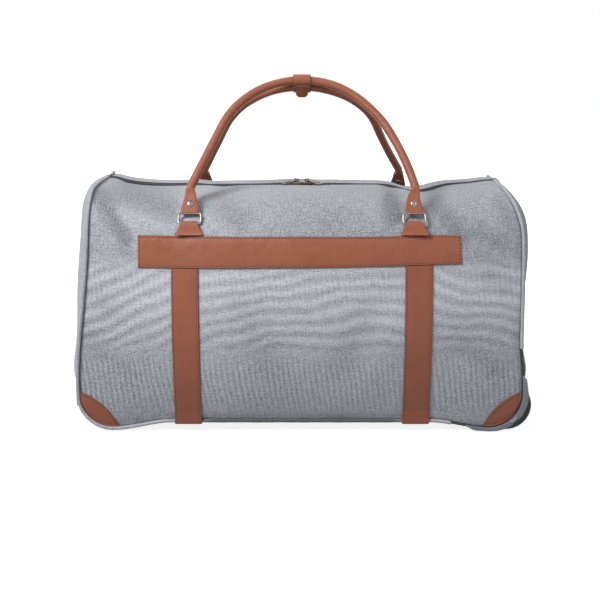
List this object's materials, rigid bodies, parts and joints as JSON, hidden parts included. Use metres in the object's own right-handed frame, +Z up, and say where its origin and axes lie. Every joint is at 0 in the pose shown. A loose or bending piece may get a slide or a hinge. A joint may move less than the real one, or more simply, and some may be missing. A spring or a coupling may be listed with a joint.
{
  "type": "wheeled travel bag",
  "caption": "Soft wheeled holdall with leather trim, twin carry handles, corner wheels and a telescopic pull handle",
  "frame": {"origin": "on the floor under the middle of the bag", "axes": "+X to the end with the wheels, front face towards -Y, +Z up"},
  "size_m": [0.6028, 0.28, 0.4497],
  "materials": {
    "bag_fabric": "fine silver-grey plain weave over thin foam",
    "piping_cord": "woven cloth over a round cord",
    "base_cloth": "coarse dark coated cloth",
    "board": "plain pressed sheet",
    "zip_tape": "woven zip tape",
    "zip_coil": "spiral nylon coil",
    "leather": "smooth tan imitation leather, stitched edges",
    "ring_metal": "bright nickel",
    "axle_steel": "turned steel",
    "black_plastic": "fine moulded grain",
    "guard_plastic": "smooth moulded grey",
    "hub_plastic": "moulded",
    "tyre_rubber": "matte",
    "tube_metal": "satin drawn tube",
    "button_plastic": "smooth",
    "zip_metal": "warm nickel"
  },
  "bodies": {
    "bag": {"front_panel": "bag_fabric", "back_panel": "bag_fabric", "end_panel_left": "bag_fabric", "end_panel_right": "bag_fabric", "base_panel": "base_cloth", "base_board": "board", "piping_front": "piping_cord", "piping_back": "piping_cord", "zip_tape_front": "zip_tape", "zip_tape_back": "zip_tape", "zip_chain": "zip_coil", "front_band": "leather", "back_band": "leather", "strap_left": "leather", "strap_right": "leather", "patch_front_left": "leather", "patch_front_right": "leather", "patch_back_left": "leather", "patch_back_right": "leather", "chapes_front": "leather", "chapes_back": "leather", "wheel_housing_front": "black_plastic", "wheel_housing_back": "black_plastic", "corner_guard_front": "guard_plastic", "corner_guard_back": "guard_plastic", "axle_front": "axle_steel", "axle_back": "axle_steel", "base_feet": "black_plastic", "handle_bezel": "black_plastic", "outer_tubes": "tube_metal", "tube_bracket": "black_plastic", "tube_collars": "black_plastic"},
    "rings_front": {"rings_front": "ring_metal"},
    "rings_back": {"rings_back": "ring_metal"},
    "handle_front": {"handle_front": "leather", "handle_rivets_front": "ring_metal", "keeper_front": "leather"},
    "handle_back": {"handle_back": "leather", "handle_rivets_back": "ring_metal", "keeper_back": "leather"},
    "wheel_front": {"hub_front": "hub_plastic", "tyre_front": "tyre_rubber"},
    "wheel_back": {"hub_back": "hub_plastic", "tyre_back": "tyre_rubber"},
    "pull_handle": {"inner_tubes": "tube_metal", "tube_glides": "black_plastic", "grip": "black_plastic"},
    "button": {"release_button": "button_plastic"},
    "slider_left": {"zip_slider_left": "zip_metal"},
    "slider_right": {"zip_slider_right": "zip_metal"},
    "pull_left": {"zip_pull_left": "zip_metal"},
    "pull_right": {"zip_pull_right": "zip_metal"}
  },
  "joints": [
    {"name": "rings_front_swing", "type": "hinge", "parent": "bag", "child": "rings_front", "pos_m": [0, -0.11919, 0.27012], "axis": [1, 0, 0], "range_deg": [0, 130]},
    {"name": "handle_front_swing", "type": "hinge", "parent": "rings_front", "child": "handle_front", "pos_m": [0, -0.11126, 0.28166], "axis": [1, 0, 0], "range_deg": [0, 70]},
    {"name": "wheel_front_spin", "type": "hinge", "parent": "bag", "child": "wheel_front", "pos_m": [0.2654, -0.0977, 0.032], "axis": [0, 1, 0], "continuous": true},
    {"name": "rings_back_swing", "type": "hinge", "parent": "bag", "child": "rings_back", "pos_m": [0, 0.11919, 0.27012], "axis": [-1, 0, 0], "range_deg": [0, 130]},
    {"name": "handle_back_swing", "type": "hinge", "parent": "rings_back", "child": "handle_back", "pos_m": [0, 0.11126, 0.28166], "axis": [-1, 0, 0], "range_deg": [0, 70]},
    {"name": "wheel_back_spin", "type": "hinge", "parent": "bag", "child": "wheel_back", "pos_m": [0.2654, 0.0977, 0.032], "axis": [0, 1, 0], "continuous": true},
    {"name": "pull_handle_slide", "type": "slide", "parent": "bag", "child": "pull_handle", "axis": [-1, 0, 0], "range_m": [0, 0.38]},
    {"name": "button_press", "type": "slide", "parent": "pull_handle", "child": "button", "axis": [1, 0, 0], "range_m": [0, 0.003], "stiffness_N_per_m": 300, "springref_m": -0.002},
    {"name": "zip_slider_left_slide", "type": "slide", "parent": "bag", "child": "slider_left", "axis": [-1, 0, 0], "range_m": [0, 0.12]},
    {"name": "zip_slider_right_slide", "type": "slide", "parent": "bag", "child": "slider_right", "axis": [1, 0, 0], "range_m": [0, 0.09]},
    {"name": "zip_pull_left_swing", "type": "hinge", "parent": "slider_left", "child": "pull_left", "pos_m": [-0.0026, 0, 0.3081], "axis": [-0.5, 0.866, 0], "range_deg": [0, 140]},
    {"name": "zip_pull_right_swing", "type": "hinge", "parent": "slider_right", "child": "pull_right", "pos_m": [0.0114, 0, 0.3081], "axis": [-0.5, -0.866, 0], "range_deg": [0, 140]}
  ],
  "couplings": [
    {"joint": "handle_front_swing", "follows": "rings_front_swing", "ratio": 0.53846},
    {"joint": "handle_back_swing", "follows": "rings_back_swing", "ratio": 0.53846}
  ]
}
